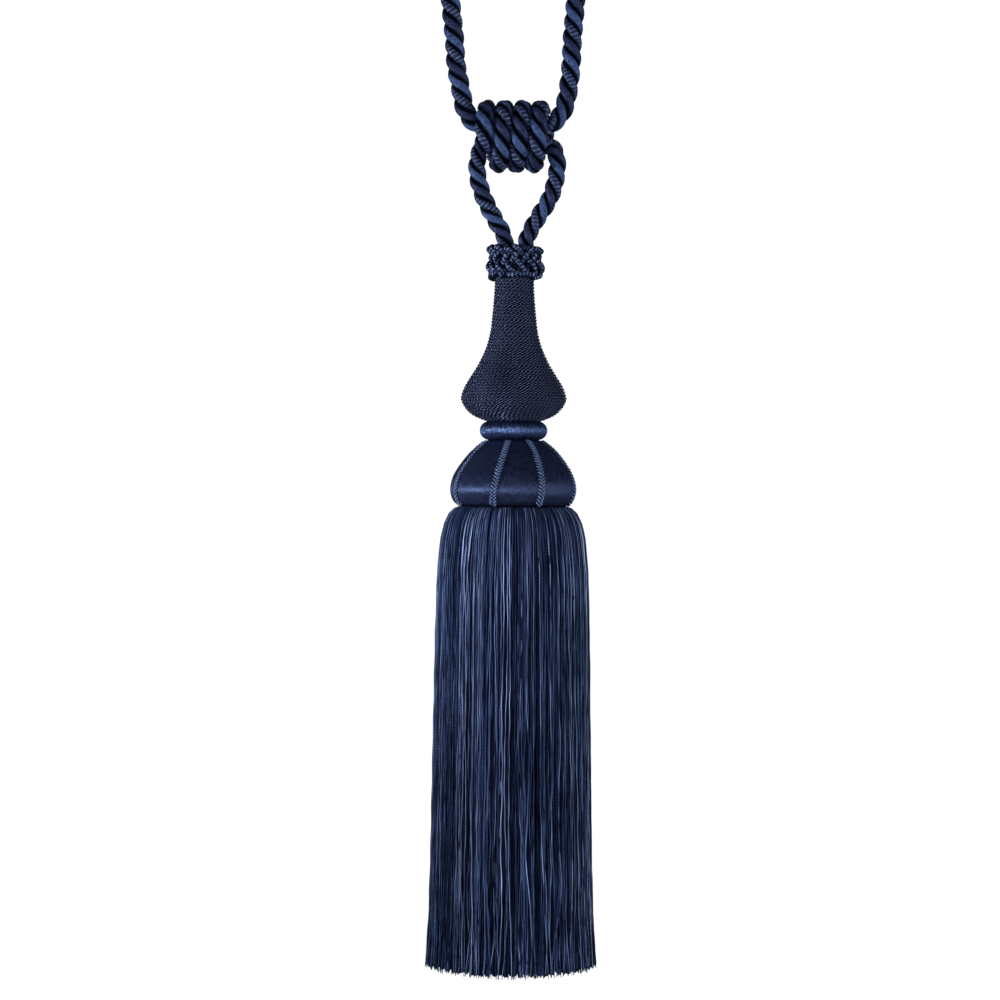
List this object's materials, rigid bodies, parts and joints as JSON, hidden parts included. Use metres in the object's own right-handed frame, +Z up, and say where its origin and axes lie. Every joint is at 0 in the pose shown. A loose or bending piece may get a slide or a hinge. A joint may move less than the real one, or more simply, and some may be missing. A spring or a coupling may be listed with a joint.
{
  "type": "tassel",
  "caption": "Hanging tassel for a curtain tie-back: a corded bell, ring and braided dome above a long cut skirt, on a twisted cord loop with a slide knot.",
  "frame": {"origin": "inner top of the cord loop, where a hook or the curtain carries it", "axes": "+Z up along the tassel, -Y to the front, +X to the right seen from the front"},
  "size_m": [0.072, 0.0719, 0.4549],
  "materials": {
    "twisted_cord": "three plies of satin and ribbed yarn",
    "ribbed_gimp": "fine ribbed cord",
    "cord_winding": "close winding of fine twisted cord",
    "silky_yarn": "silky yarn, wound",
    "satin_yarn": "satin yarn, laid straight",
    "plaited_braid": "flat plait",
    "fringe_yarn": "fine two-tone yarn, cut ends"
  },
  "bodies": {
    "root": {"cord_loop": "twisted_cord", "loop_whipping": "ribbed_gimp", "slide_knot": "twisted_cord", "neck_ruff": "ribbed_gimp", "bell": "cord_winding", "ring": "silky_yarn", "dome": "satin_yarn", "braid_1": "plaited_braid", "braid_2": "plaited_braid", "braid_3": "plaited_braid", "braid_4": "plaited_braid", "braid_5": "plaited_braid", "braid_6": "plaited_braid", "braid_7": "plaited_braid", "braid_8": "plaited_braid", "skirt": "fringe_yarn"}
  },
  "joints": []
}
